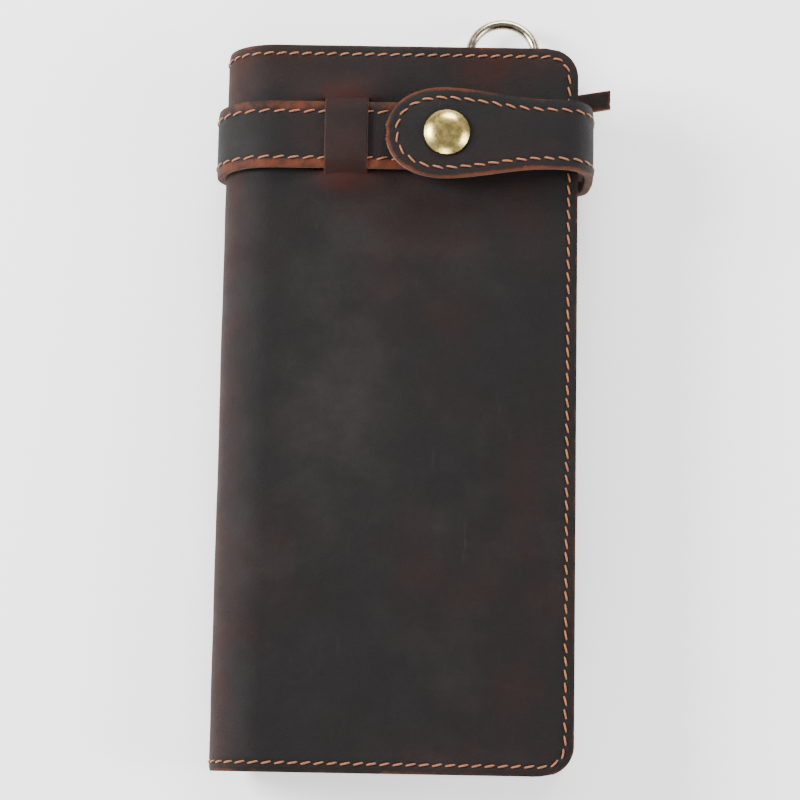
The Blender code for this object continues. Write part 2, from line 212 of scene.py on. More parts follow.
class Shader:
    """Small helper that wires nodes of one material."""

    def __init__(self, name):
        self.mat = bpy.data.materials.new(name)
        self.mat.use_nodes = True
        self.nodes = self.mat.node_tree.nodes
        self.links = self.mat.node_tree.links
        self.bsdf = self.nodes["Principled BSDF"]
        self.coords = self.nodes.new("ShaderNodeTexCoord").outputs["Object"]

    def link(self, a, b):
        self.links.new(a, b)

    def noise(self, scale, detail, rough, stretch=None):
        """Noise in object space; stretch is a scale per axis and a turn about Z."""
        tex = self.nodes.new("ShaderNodeTexNoise")
        tex.inputs["Scale"].default_value = scale
        tex.inputs["Detail"].default_value = detail
        tex.inputs["Roughness"].default_value = rough
        source = self.coords
        if stretch:
            mapping = self.nodes.new("ShaderNodeMapping")
            mapping.inputs["Scale"].default_value = stretch[:3]
            mapping.inputs["Rotation"].default_value = (0, 0, stretch[3])
            self.link(self.coords, mapping.inputs["Vector"])
            source = mapping.outputs["Vector"]
        self.link(source, tex.inputs["Vector"])
        return tex.outputs["Fac"]

    def cells(self, scale):
        """Leather pores: distance to the nearest crease."""
        tex = self.nodes.new("ShaderNodeTexVoronoi")
        tex.feature = "DISTANCE_TO_EDGE"
        tex.inputs["Scale"].default_value = scale
        self.link(self.coords, tex.inputs["Vector"])
        return tex.outputs["Distance"]

    def attribute(self, name):
        node = self.nodes.new("ShaderNodeAttribute")
        node.attribute_name = name
        return node.outputs["Fac"]

    def ramp(self, value, low, high, out_low=0.0, out_high=1.0):
        """Soft step of a value between low and high."""
        node = self.nodes.new("ShaderNodeMapRange")
        node.interpolation_type = "SMOOTHSTEP"
        limits = {"From Min": low, "From Max": high, "To Min": out_low, "To Max": out_high}
        for key, number in limits.items():
            node.inputs[key].default_value = number
        self.link(value, node.inputs["Value"])
        return node.outputs["Result"]

    def plug(self, socket, value):
        """Set a constant, or link the output of another node."""
        if isinstance(value, (int, float, tuple)):
            socket.default_value = value
        else:
            self.link(value, socket)

    def calc(self, operation, a, b):
        node = self.nodes.new("ShaderNodeMath")
        node.operation = operation
        self.plug(node.inputs[0], a)
        self.plug(node.inputs[1], b)
        return node.outputs["Value"]

    def mix(self, factor, a, b):
        node = self.nodes.new("ShaderNodeMix")
        node.data_type = "RGBA"
        first, second = [socket for socket in node.inputs if socket.type == "RGBA"]
        self.plug(node.inputs[0], factor)
        self.plug(first, a)
        self.plug(second, b)
        return [socket for socket in node.outputs if socket.type == "RGBA"][0]

    def bump(self, height, strength, distance, previous=None):
        """Surface relief, laid over a previous relief if there is one."""
        node = self.nodes.new("ShaderNodeBump")
        node.inputs["Strength"].default_value = strength
        node.inputs["Distance"].default_value = distance
        self.link(height, node.inputs["Height"])
        if previous:
            self.link(previous, node.inputs["Normal"])
        return node.outputs["Normal"]

    def done(self, colour, roughness, normal, **fixed):
        """Connect the results; fixed values go straight on the shader's own sockets."""
        for key, value in fixed.items():
            self.bsdf.inputs[key.replace("_", " ")].default_value = value
        self.link(colour, self.bsdf.inputs["Base Color"])
        self.link(normal, self.bsdf.inputs["Normal"])
        if roughness is not None:
            self.link(roughness, self.bsdf.inputs["Roughness"])
        return self.mat


def waxed_leather(name, dark, warm, rust, pale):
    """Waxed pull-up leather: dark wax, warm patches, pale haze that is partly painted light, rust where it is
    worn.

    The sheets carry three vertex attributes from 0 to 1: wear, warm and haze; haze lays pale patches of painted
    light from the left over the leather's mottling.
    """
    s = Shader(name)
    slanted = (9.0, 1.0, 1.0, 0.9)
    upright = (14.0, 1.0, 1.0, 0.18)
    red = (rust[0] * 0.19, rust[1] * 0.125, rust[2] * 0.17, 1)
    patches = s.ramp(s.noise(26, 3, 0.55), 0.46, 0.72)
    haze = s.ramp(s.noise(38, 8, 0.72), 0.46, 0.80, 0.0, 0.40)
    colour = s.mix(patches, dark, warm)
    colour = s.mix(haze, colour, pale)
    streaks = s.ramp(s.noise(60, 6, 0.7, slanted), 0.62, 0.72, 0.0, 0.40)
    colour = s.mix(streaks, colour, pale)
    speck = s.ramp(s.noise(900, 2, 0.6), 0.60, 0.80, 0.0, 0.30)
    colour = s.mix(speck, colour, dark)
    # Pale patches from the haze attribute: the leather's mottling, with painted light falling from the left at the
    # centre-left of the cover.
    haze_and_painted_light = s.calc("MULTIPLY", s.attribute("haze"), s.noise(34, 9, 0.80))
    colour = s.mix(s.ramp(haze_and_painted_light, 0.20, 0.75, 0.0, 0.75), colour, pale)
    scuff = s.ramp(s.noise(70, 8, 0.80, upright), 0.60, 0.74, 0.0, 0.30)
    colour = s.mix(scuff, colour, pale)
    blush = s.calc("MULTIPLY", s.attribute("warm"), s.ramp(s.noise(120, 4, 0.65), 0.2, 0.75, 0.45, 1.25))
    colour = s.mix(s.ramp(blush, 0.1, 1.0, 0.0, 0.95), colour, red)
    worn = s.calc("ADD", s.attribute("wear"), s.ramp(s.noise(220, 4, 0.7), 0.3, 0.8, -0.28, 0.22))
    colour = s.mix(s.ramp(worn, 0.25, 0.95, 0.0, 0.85), colour, rust)
    grain = s.bump(s.cells(1150), 0.30, 0.0004)
    grain = s.bump(s.noise(2600, 4, 0.6), 0.40, 0.0005, grain)
    grain = s.bump(s.noise(130, 4, 0.55), 0.20, 0.0012, grain)
    grain = s.bump(s.noise(60, 6, 0.7, (9.0, 1.0, 1.0, 0.5)), 0.10, 0.0006, grain)
    roughness = s.ramp(s.noise(90, 4, 0.6), 0.3, 0.7, 0.62, 0.70)
    return s.done(colour, roughness, grain, Specular_IOR_Level=0.16)


def raw_leather(name, light, dark, scale):
    """Cut edge or flesh side: fibrous, matt and rust brown."""
    s = Shader(name)
    colour = s.mix(s.ramp(s.noise(scale, 4, 0.7), 0.32, 0.68), dark, light)
    colour = s.mix(s.ramp(s.noise(90, 3, 0.6), 0.45, 0.75, 0.0, 0.6), colour, dark)
    fibre = s.bump(s.noise(scale * 1.3, 5, 0.75), 0.7, 0.0006)
    return s.done(colour, None, fibre, Roughness=0.88, Specular_IOR_Level=0.2, Sheen_Weight=0.15)


def brushed_metal(name, base, tarnish, roughness, patina):
    """Worn metal with tarnish spots and fine scratches."""
    s = Shader(name)
    stain = s.ramp(s.noise(260, 3, 0.55), 0.35, 0.80, 0.0, patina)
    colour = s.mix(stain, base, tarnish)
    rough = s.ramp(s.noise(700, 4, 0.6), 0.3, 0.7, roughness, roughness + 0.16)
    scratch = s.bump(s.noise(1500, 3, 0.6, (6.0, 1.0, 1.0, 0.3)), 0.04, 0.0001)
    return s.done(colour, rough, scratch, Metallic=1.0)


def waxed_thread(name, light, dark):
    """Twisted thread: its light and dark bands are painted highlight and painted shade along the twist."""
    s = Shader(name)
    twist = s.noise(3200, 2, 0.5, (1.0, 3.0, 1.0, 0.7))
    colour = s.mix(s.ramp(twist, 0.35, 0.65), dark, light)
    return s.done(colour, None, s.bump(twist, 0.5, 0.0002), Roughness=0.55, Sheen_Weight=0.2)


def woven_tape(name):
    """Dark woven cloth of the zip tapes."""
    s = Shader(name)
    weave = s.nodes.new("ShaderNodeTexWave")
    weave.inputs["Scale"].default_value = 500.0
    s.link(s.coords, weave.inputs["Vector"])
    colour = s.mix(weave.outputs["Fac"], (0.018, 0.016, 0.015, 1), (0.05, 0.045, 0.04, 1))
    return s.done(colour, None, s.bump(weave.outputs["Fac"], 0.5, 0.0003), Roughness=0.9)


RUST = (0.098, 0.0235, 0.0072, 1)
COVER_SKIN = waxed_leather("cover_waxed_leather", dark=(0.0046, 0.0036, 0.0036, 1),
                           warm=(0.0088, 0.0037, 0.0031, 1), rust=RUST, pale=(0.0185, 0.0162, 0.0152, 1))
STRAP_SKIN = waxed_leather("strap_waxed_leather", dark=(0.0052, 0.0042, 0.0041, 1),
                           warm=(0.0086, 0.0040, 0.0034, 1), rust=RUST, pale=(0.0165, 0.0142, 0.0132, 1))
INNER_SKIN = waxed_leather("inner_waxed_leather", dark=(0.0105, 0.0065, 0.0052, 1),
                           warm=(0.018, 0.0078, 0.0055, 1), rust=RUST, pale=(0.0135, 0.0095, 0.0075, 1))
RAW_EDGE = raw_leather("raw_leather_edge", (0.130, 0.034, 0.0105, 1), (0.042, 0.0110, 0.0048, 1), 1400)
FLESH = raw_leather("leather_flesh_side", (0.13, 0.056, 0.031, 1), (0.07, 0.029, 0.016, 1), 700)
BRASS = brushed_metal("antique_brass", (0.56, 0.43, 0.15, 1), (0.30, 0.22, 0.070, 1), 0.22, 0.55)
RING_METAL = brushed_metal("ring_nickel", (0.42, 0.37, 0.27, 1), (0.20, 0.16, 0.10, 1), 0.16, 0.6)
# Thread tones: the light one is a painted highlight and the dark one painted shade on the twisted plies.
THREAD = waxed_thread("orange_brown_thread", (0.36, 0.108, 0.020, 1), (0.15, 0.037, 0.008, 1))
TAPE = woven_tape("zip_tape_weave")


# ---------------------------------------------------------------- leather sheets on bent paths

def smooth(t):
    """Soft step from 0 to 1."""
    t = min(max(t, 0.0), 1.0)
    return t * t * (3 - 2 * t)


def bell(distance, width):
    """Soft bump: 1 at distance 0, nearly 0 at twice the width."""
    return math.exp(-(distance / width) ** 2)


def unevenness(s, y, seed, amount=0.16):
    """Slow waviness of real leather, in millimetres."""
    value = noise.noise(Vector((s * 0.045, y * 0.035, seed)))
    value += 0.45 * noise.noise(Vector((s * 0.12, y * 0.10, seed + 7.0)))
    return value * amount


def arc(cx, cz, radius, start, end, b=None, power=2.0):
    """Arc of a circle or superellipse in the XZ plane, in degrees from +X towards +Z."""
    points = []
    steps = 24
    for i in range(steps + 1):
        t = math.radians(start + (end - start) * i / steps)
        c, s = math.cos(t), math.sin(t)
        x = cx + radius * math.copysign(abs(c) ** (2 / power), c)
        z = cz + (b or radius) * math.copysign(abs(s) ** (2 / power), s)
        points.append((x, z))
    return points


class Path:
    """Mid line of a sheet, in XZ; s is the length along it and h the height off its outer side.

    The outer side is on the left of the line for side 1 and on its right for side -1.
    """
    REACH = 0.6

    def __init__(self, points, lift, side):
        self.points = points
        self.lift = lift
        self.side = side
        self.marks = [0.0]
        for (ax, az), (bx, bz) in zip(points, points[1:]):
            self.marks.append(self.marks[-1] + math.hypot(bx - ax, bz - az))
        self.length = self.marks[-1]

    def _place(self, s):
        s = min(max(s, 0.0), self.length)
        i = 0
        while i < len(self.marks) - 2 and self.marks[i + 1] < s:
            i += 1
        t = (s - self.marks[i]) / max(self.marks[i + 1] - self.marks[i], TINY)
        (ax, az), (bx, bz) = self.points[i], self.points[i + 1]
        return ax + (bx - ax) * t, az + (bz - az) * t

    def at(self, s, y, h=0.0):
        x, z = self._place(s)
        ax, az = self._place(s - self.REACH)
        bx, bz = self._place(s + self.REACH)
        size = math.hypot(bx - ax, bz - az) or 1.0
        nx, nz = -(bz - az) / size * self.side, (bx - ax) / size * self.side
        x, z = x + nx * h, z + nz * h
        if self.lift:
            z += self.lift(y) * max(0.0, 1 - 2 * z / THICK)
        return Vector((x, y, z)) * MM


def back_lift(y):
    """The back cover bows up where the strap passes under it."""
    return STRAP_LIFT * smooth((y - 20.0) / 38.0)


def spread(start, end, fine, coarse, margin):
    """Stations from start to end, close together near both ends."""
    values = []
    place = start
    while place < end - 1e-6:
        values.append(place)
        near = min(place - start, end - place)
        place += fine if near < margin else coarse
    if end - values[-1] < fine * 0.4:
        values.pop()
    values.append(end)
    return values


def quads(bm, rows, closed=False):
    """Join neighbouring rows of vertices with faces; closed rows run round and meet."""
    for low, high in zip(rows, rows[1:]):
        count = len(low)
        for i in range(count if closed else count - 1):
            n = (i + 1) % count
            bm.faces.new((low[i], low[n], high[n], high[i]))


def new_object(name, bm, body=None):
    mesh = bpy.data.meshes.new(name)
    bm.to_mesh(mesh)
    bm.free()
    obj = bpy.data.objects.new(name, mesh)
    bpy.context.scene.collection.objects.link(obj)
    mesh.shade_smooth()
    if body:
        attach(obj, body)
    return obj


def soften_edges(obj, width):
    """Round every sharp edge of a piece."""
    bevel = obj.modifiers.new("edge", "BEVEL")
    bevel.width = width * MM
    bevel.segments = 2
    bevel.limit_method = "ANGLE"
    bevel.angle_limit = math.radians(BEVEL_ANGLE)


def apply_modifiers(obj):
    """Turn the result of the modifiers into the piece's own mesh."""
    graph = bpy.context.evaluated_depsgraph_get()
    mesh = bpy.data.meshes.new_from_object(obj.evaluated_get(graph))
    obj.modifiers.clear()
    obj.data = mesh


def paint(mesh, name, rule):
    """Store rule(s, y) on every vertex, from the flat place the vertex has on its sheet."""
    flat = [0.0] * (3 * len(mesh.vertices))
    mesh.attributes["flat"].data.foreach_get("vector", flat)
    values = [rule(s, y) for s, y in zip(flat[0::3], flat[1::3])]
    mesh.attributes.new(name, "FLOAT", "POINT").data.foreach_set("value", values)


def thicken(obj, skin, thick, offset, bevel):
    """Give a sheet its thickness: grain side out, flesh side in, raw cut edge all round."""
    for mat in (skin, FLESH, RAW_EDGE):
        obj.data.materials.append(mat)
    solid = obj.modifiers.new("thickness", "SOLIDIFY")
    solid.thickness = thick * MM
    solid.offset = offset
    solid.material_offset = 1
    solid.material_offset_rim = 2
    soften_edges(obj, bevel)
    apply_modifiers(obj)


def shade(mesh):
    """Smooth faces with a crisp line at the cut edges."""
    mesh.shade_smooth()
    mesh.set_sharp_from_angle(angle=math.radians(SHARP_ANGLE))


def leather_sheet(name, path, s_lines, y_lines, where, thick, relief, wear, skin, bevel, tones=None):
    """Sheet along a path: where(u, v) places the grid, relief lifts it, wear and tones colour it."""
    bm = bmesh.new()
    flat = bm.verts.layers.float_vector.new("flat")
    grid = []
    for v in y_lines:
        row = []
        for u in s_lines:
            s, y = where(u, v)
            vert = bm.verts.new(path.at(s, y, relief(s, y)))
            vert[flat] = (s, y, 0)
            row.append(vert)
        grid.append(row)
    quads(bm, grid)
    bmesh.ops.remove_doubles(bm, verts=bm.verts, dist=1e-7)
    bm.normal_update()
    middle = bm.faces[:][len(bm.faces) // 2]
    s, y, _ = middle.verts[0][flat]
    outward = path.at(s, y, 1.0) - path.at(s, y, 0.0)
    if middle.normal.dot(outward) < 0:
        bmesh.ops.reverse_faces(bm, faces=bm.faces)
    obj = new_object(name, bm)
    thicken(obj, skin, thick, 0, bevel)
    paint(obj.data, "wear", wear)
    if tones:
        paint(obj.data, "warm", tones[0])
        paint(obj.data, "haze", tones[1])
    shade(obj.data)
    return obj


# ---------------------------------------------------------------- stitching

def stitch_row(bm, path, line, pitch, thick):
    """Separate slanted thread bars along a line of (s, y) points on the outer side of a sheet."""
    marks = [0.0]
    for (au, av), (bu, bv) in zip(line, line[1:]):
        marks.append(marks[-1] + math.hypot(bu - au, bv - av))

    def on_line(t):
        i = 0
        while i < len(marks) - 2 and marks[i + 1] < t:
            i += 1
        f = (t - marks[i]) / max(marks[i + 1] - marks[i], TINY)
        (au, av), (bu, bv) = line[i], line[i + 1]
        size = math.hypot(bu - au, bv - av) or 1.0
        return au + (bu - au) * f, av + (bv - av) * f, (bu - au) / size, (bv - av) / size

    count = int(marks[-1] / pitch)
    pitch = marks[-1] / max(count, 1)
    length = pitch * STITCH_SHARE
    steps, sides = 6, 6
    for k in range(count):
        centre = (k + STITCH_START) * pitch
        rings = []
        jitter = 0.12 * noise.noise(Vector((k * 1.7, line[0][0], line[0][1])))
        for i in range(steps + 1):
            f = i / steps
            t = min(max(centre + (f - 0.5) * length, 0.0), marks[-1])
            s, y, ds, dy = on_line(t)
            off = (f - 0.5) * length * (STITCH_SLANT + jitter)
            s, y = s - dy * off, y + ds * off
            rise = thick / 2 - 0.28 + 0.42 * math.sin(math.pi * f) ** 0.55
            radius = THREAD_R * (0.55 + 0.45 * math.sin(math.pi * f) ** 0.4)
            ring = []
            for j in range(sides):
                a = 2 * math.pi * j / sides
                across, up = radius * math.cos(a), radius * 0.8 * math.sin(a)
                ring.append(bm.verts.new(path.at(s - dy * across, y + ds * across, rise + up)))
            rings.append(ring)
        quads(bm, rings, closed=True)
        bm.faces.new(list(reversed(rings[0])))
        bm.faces.new(rings[-1])


def stitched(name, path, lines, pitch, thick):
    """One piece that holds the thread bars of several seam lines."""
    bm = bmesh.new()
    for line in lines:
        stitch_row(bm, path, line, pitch, thick)
    bmesh.ops.recalc_face_normals(bm, faces=bm.faces)
    obj = new_object(name, bm)
    obj.data.materials.append(THREAD)
    return obj


# ---------------------------------------------------------------- covers

# In the rules for relief and colour, s and y are millimetres on the flat sheet, and
# bell(x - place, width) is a patch at that place.

def cover_edge(s, y, length):
    """Distance from a point of the flat cover to its nearest outer edge."""
    dx, dy = length - s, END_Y - abs(y)
    if dx < CORNER_R and dy < CORNER_R:
        return CORNER_R - math.hypot(CORNER_R - dx, CORNER_R - dy)
    return min(dx, dy)


def cover_end(y, length):
    """Length of the cover at height y, shorter in the rounded corners."""
    over = max(0.0, abs(y) - (END_Y - CORNER_R))
    return length - CORNER_R + math.sqrt(max(CORNER_R ** 2 - over ** 2, 0.0))


def cover_seam(length, inset):
    """Seam line: along one end, round both corners and back along the other end."""
    r = CORNER_R - inset
    cs, cy = length - CORNER_R, END_Y - CORNER_R
    turns = [(math.sin(math.radians(a)), math.cos(math.radians(a))) for a in range(0, 91, 9)]
    line = [(0.0, END_Y - inset)]
    line += [(cs + r * sine, cy + r * cosine) for sine, cosine in turns]
    line += [(cs + r * cosine, -cy - r * sine) for sine, cosine in turns]
    line.append((0.0, -END_Y + inset))
    return line


def make_cover(name, points, lift, side, seed, with_slits):
    """One cover with its half of the spine; s starts at the middle of the spine."""
    path = Path(points, lift, side)
    length = path.length

    def relief(s, y):
        d = cover_edge(s, y, length)
        h = -GROOVE * bell(d - COVER_INSET, 0.55)
        h += unevenness(s, y, seed) * smooth(d / 14.0)
        h -= 0.25 * bell(d, 0.8)
        if with_slits:
            away = abs(y - STRAP_Y) - STRAP_HALF
            x = s - TURN_LENGTH + TURN_X
            swell = smooth(away / 1.3) * (1 - smooth((away - 1.3) / 9.0))
            h += 2.3 * swell * bell(x - KEEPER_X, 9.5)
        return h

    def wear(s, y):
        d = cover_edge(s, y, length)
        value = 0.62 * bell(d, 0.9) + 0.12 * bell(d - COVER_INSET, 0.8)
        value += 0.25 * bell(s - TURN_LENGTH * 0.55, 5.0) * smooth((abs(y) - 60) / 40)
        if with_slits:
            x = s - TURN_LENGTH + TURN_X
            for side_x in BRIDGE_X:
                value += 0.50 * bell(x - side_x, 2.2) * bell(abs(y - STRAP_Y) - SLIT_HALF, 2.4)
            value += 0.26 * bell(x - KEEPER_X, 8.0) * bell(y - STRAP_Y + SLIT_HALF + 2.0, 4.0)
        return min(value, 1.0)

    def warm(s, y):
        x = s - TURN_LENGTH + TURN_X
        value = 0.75 * (1 - smooth((s - 2.0) / 22.0)) + 0.25 * bell(x - 38.0, 12.0) * bell(y + 20.0, 60.0)
        if with_slits:
            value += 1.3 * keeper_warmth(x - KEEPER_X, y)
            value += 0.55 * bell(x - 24.0, 7.0) * bell(y - 91.0, 10.0)
            value += 0.35 * bell(y - 93.0, 9.0)
        return value

    # Pale haze mask: the broad patch at the centre-left is painted light falling from the left; both patches are
    # broken up by the leather's mottling in the shader.
    def haze(s, y):
        x = s - TURN_LENGTH + TURN_X
        haze_and_painted_light = 0.95 * bell(x + 18.0, 24.0) * bell(y - 5.0, 58.0)
        return haze_and_painted_light + 0.35 * bell(x - 20.0, 30.0) * bell(y + 30.0, 60.0)

    def where(u, v):
        return u * cover_end(v, length), v

    s_lines = [s / length for s in spread(0.0, length, 0.5, 1.3, 4.0)]
    s_lines = [u for i, u in enumerate(s_lines) if u * length > 4.0 or i % 2 == 0]
    y_lines = spread(-END_Y, END_Y, 0.5, 1.5, 9.0)
    skin = leather_sheet(name, path, s_lines, y_lines, where, LEATHER,
                         relief, wear, COVER_SKIN, 0.4, (warm, haze))
    seam = cover_seam(length, COVER_INSET)
    threads = stitched(name + "_stitching", path, [seam], COVER_PITCH, LEATHER)
    return skin, threads


def make_covers():
    """Front and back cover, each with its half of the spine, meeting at the middle of the spine."""
    r = SPINE_R - LEATHER / 2
    top = arc(TURN_X, SPINE_R, r, 180, 90) + [(EDGE_X, THICK - LEATHER / 2)]
    low = arc(TURN_X, SPINE_R, r, 180, 270) + [(EDGE_X, LEATHER / 2)]
    front, front_threads = make_cover("front_cover_leather", top, lift=None, side=1, seed=3.0,
                                      with_slits=True)
    back, back_threads = make_cover("back_cover_leather", low, lift=back_lift, side=-1, seed=11.0,
                                    with_slits=False)
    for piece in (front, front_threads):
        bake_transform(piece)
    for piece in (back, back_threads):
        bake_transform(piece)
    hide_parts("cover_front", "cover_spine")
    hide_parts("cover_back")


def keeper_warmth(across, y):
    """Red tone of the leather that is stretched over the strap, strongest at the ends of the slits."""
    away = abs(y - STRAP_Y)
    value = 0.42 * (1 - smooth((away - SLIT_HALF - 1.0) / 9.0))
    value += 0.60 * bell(y - STRAP_Y + SLIT_HALF + 1.5, 4.5)
    value += 0.30 * bell(y - STRAP_Y - SLIT_HALF - 1.5, 4.0)
    return value * bell(across, 9.0)


def make_keeper():
    """Strip of the front cover between the two slits, lifted by the strap that runs under it."""
    base, top = THICK - LEATHER / 2, KEEPER_TOP - LEATHER / 2
    reach = SLIT_HALF + 8.0

    def height(y):
        d = abs(y - STRAP_Y)
        return base - 0.06 + (top - base) * (1 - smooth((d - SLIT_HALF + 3.4) / 9.0))

    bm = bmesh.new()
    flat = bm.verts.layers.float_vector.new("flat")
    grid = []
    steps_x, steps_y = 22, 64
    for j in range(steps_y + 1):
        y = STRAP_Y - reach + 2 * reach * j / steps_y
        row = []
        for i in range(steps_x + 1):
            f = i / steps_x
            x = BRIDGE_X[0] + (BRIDGE_X[1] - BRIDGE_X[0]) * f
            crown = 0.35 * (1 - (2 * f - 1) ** 2) * smooth((height(y) - base) / 3.0)
            z = height(y) + crown + unevenness(x, y, 5.0, 0.10)
            vert = bm.verts.new(Vector((x, y, z)) * MM)
            edge = min(x - BRIDGE_X[0], BRIDGE_X[1] - x)
            vert[flat] = (edge, y, 0)
            row.append(vert)
        grid.append(row)
    quads(bm, grid)
    obj = new_object("strap_keeper", bm)
    thicken(obj, COVER_SKIN, KEEPER_T, -0.6, 0.35)

    def wear(near, y):
        value = 0.42 * bell(near, 0.6) * bell(y - STRAP_Y, SLIT_HALF)
        value += 0.30 * bell(near, 3.0) * bell(abs(y - STRAP_Y) - SLIT_HALF, 3.0)
        return value + 0.12 * bell(y - STRAP_Y + SLIT_HALF, 4.0)

    paint(obj.data, "wear", wear)
    paint(obj.data, "warm", lambda near, y: 0.85 * keeper_warmth(0.0, y))
    shade(obj.data)
    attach(obj, "front")


# ---------------------------------------------------------------- strap

def strap_length(name, path, half, stations):
    """Run of strap whose half width, half(s), may change along it; rust outside its two seams."""
    def relief(s, y):
        d = half(s) - abs(y - STRAP_Y)
        return -GROOVE * bell(d - STRAP_INSET, 0.5) - 0.20 * bell(d, 0.7) + unevenness(s, y, 2.0, 0.08)

    def wear(s, y):
        d = half(s) - abs(y - STRAP_Y)
        strength = 0.8 * (1.0 if y < STRAP_Y else 0.75)
        return min(1.0, strength * (1 - smooth((d - STRAP_INSET * 0.55) / (STRAP_INSET * 0.6))))

    def where(u, v):
        return u, STRAP_Y + v * half(u)

    v_lines = [-1 + 2 * i / 30 for i in range(31)]
    return leather_sheet(name, path, stations, v_lines, where, STRAP_T,
                         relief, wear, STRAP_SKIN, 0.4)


def strap_seams(name, path, end):
    """Two straight seams from the middle of the spine to the end of a run of strap."""
    lines = []
    for sign in (1, -1):
        y = STRAP_Y + sign * (STRAP_HALF - STRAP_INSET)
        lines.append([(0.0, y), (end, y)])
    return stitched(name, path, lines, STRAP_PITCH, STRAP_T)


def make_front_strap():
    """From the middle of the spine, under the keeper, to the rounded end below the snap."""
    r = SPINE_R + STRAP_GAP + STRAP_T / 2
    upper = Path(arc(TURN_X, SPINE_R, r, 180, 90) + [(STRAP_HIGH[0], FRONT_MID)], None, 1)

    def half(s):
        over = max(0.0, s - (upper.length - STRAP_CORNER))
        return STRAP_HALF - STRAP_CORNER + math.sqrt(max(STRAP_CORNER ** 2 - over ** 2, 0.0))

    strap = strap_length("front_strap_leather", upper, half, spread(0.0, upper.length, 0.5, 1.0, 4.0))
    threads = strap_seams("front_strap_stitching", upper, upper.length - STRAP_INSET)
    for piece in (strap, threads):
        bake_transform(piece)
    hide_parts("strap_front", "strap_spine")


def make_back_strap():
    """From the middle of the spine, under the back cover, up to the split beside the opening edge."""
    r = SPINE_R + STRAP_GAP + STRAP_T / 2
    side = STRAP_OUT_X - STRAP_T / 2
    rise = SPLIT_Z - STRAP_T / 2
    points = arc(TURN_X, SPINE_R, r, 180, 270, b=SPINE_R - STRAP_T / 2)
    points += arc(BACK_BEND_X, SPLIT_Z, side - BACK_BEND_X, 270, 360, b=rise, power=BACK_BEND_POWER)
    lower = Path(points, None, -1)
    stations = spread(0.0, lower.length, 0.5, 1.2, 24.0)
    back = strap_length("back_strap_leather", lower, lambda s: STRAP_HALF, stations)
    threads = strap_seams("back_strap_stitching", lower, lower.length)
    for piece in (back, threads):
        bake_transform(piece)
    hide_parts("strap_back")


def make_tab():
    """Closing tab: comes up round the opening edge and ends in a round nose with the snap.

    The threads follow the outline at a fixed distance: up one side, round the tip and back.
    """
    side = STRAP_OUT_X - STRAP_T / 2
    points = arc(TAB_BEND_X, SPLIT_Z + SPLIT_GAP, side - TAB_BEND_X, 0, 90,
                 b=TAB_MID - SPLIT_Z - SPLIT_GAP, power=TAB_BEND_POWER)
    points.append((TAB_NOSE_X, TAB_MID))
    path = Path(points, None, -1)
    length = path.length
    snap_s = length - (SNAP_X - TAB_NOSE_X)
    root_half = STRAP_HALF + 0.4

    def half(s):
        back = length - s
        if back < TAB_NOSE:
            t = math.acos(min(max(1 - back / TAB_NOSE, -1.0), 1.0))
            return TAB_NOSE_R * max(math.sin(t), 0.0) ** 0.85
        return TAB_NOSE_R + (root_half - TAB_NOSE_R) * smooth((back - TAB_NOSE) / TAB_EASE)

    def round_nose(steps):
        return [length - TAB_NOSE * (1 - math.sin(math.radians(90 * i / steps))) for i in range(steps)]

    straight = spread(0.0, length - TAB_NOSE, 0.5, 0.8, 16.0)[:-1]
    stations = straight + round_nose(12)
    outline = [(s, half(s)) for s in straight + round_nose(30)] + [(length, 0.0)]

    def edge_distance(s, y):
        v = abs(y - STRAP_Y)
        if s < length - TAB_NOSE - 6:
            return half(s) - v
        return min(math.hypot(s - a, v - b) for a, b in outline)

    def relief(s, y):
        d = edge_distance(s, y)
        h = -GROOVE * bell(d - TAB_INSET, 0.5) - 0.22 * bell(d, 0.7) + unevenness(s, y, 2.0, 0.10)
        r = math.hypot(s - snap_s, y - STRAP_Y)
        return h - 0.25 * bell(r, CAP_R * 1.15)

    def wear(s, y):
        d = edge_distance(s, y)
        nose_side = smooth((s - length + 2 * TAB_NOSE) / TAB_NOSE)
        rim = 0.45 + 0.45 * max(nose_side, 1.0 if y < STRAP_Y else 0.0)
        return min(1.0, rim * (1 - smooth((d - 0.3) / 1.3)) + 0.10 * bell(d - TAB_INSET, 0.7))

    def where(u, v):
        return u, STRAP_Y + v * half(u)

    v_lines = []
    for i in range(41):
        even = -1 + 2 * i / 40
        v_lines.append(math.sin(math.radians(-90 + 180 * i / 40)) * 0.35 + even * 0.65)
    tab = leather_sheet("tab_leather", path, stations, v_lines, where, STRAP_T,
                        relief, wear, STRAP_SKIN, 0.34)
    upper = []
    for (a, b), (c, d) in zip(outline, outline[1:]):
        size = math.hypot(c - a, d - b) or 1.0
        px = (a + c) / 2 + (d - b) / size * TAB_INSET
        py = (b + d) / 2 - (c - a) / size * TAB_INSET
        if py > 0.2 and px > 0.5:
            upper.append((px, STRAP_Y + py))
    tip = (length - TAB_INSET, STRAP_Y)
    lower = [(s, 2 * STRAP_Y - y) for s, y in reversed(upper)]
    seam = upper + [tip] + lower
    threads = stitched("tab_stitching", path, [seam], TAB_PITCH, STRAP_T)
    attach(tab, "tab")
    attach(threads, "tab")
    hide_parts("strap_tab")


def make_tab_root():
    """Leather tongue sewn under the front cover's edge; it holds the root of the closing tab."""
    bend = [(38.0, 25.3), (45.5, 25.3), (47.6, 24.9), (48.8, 23.8), (49.2, 22.0), (49.3, 15.4)]
    path = Path(bend, None, 1)

    def where(u, v):
        return u, STRAP_Y + v * (STRAP_HALF - 0.8)

    def flat_and_clean(*_place):
        return 0.0

    stations = spread(0.0, path.length, 0.4, 0.8, 3.0)
    rows = [-1 + i / 7 for i in range(15)]
    root = leather_sheet("tab_root_leather", path, stations, rows, where, 1.2,
                         flat_and_clean, flat_and_clean, STRAP_SKIN, 0.2)
    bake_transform(root)


# ---------------------------------------------------------------- metal

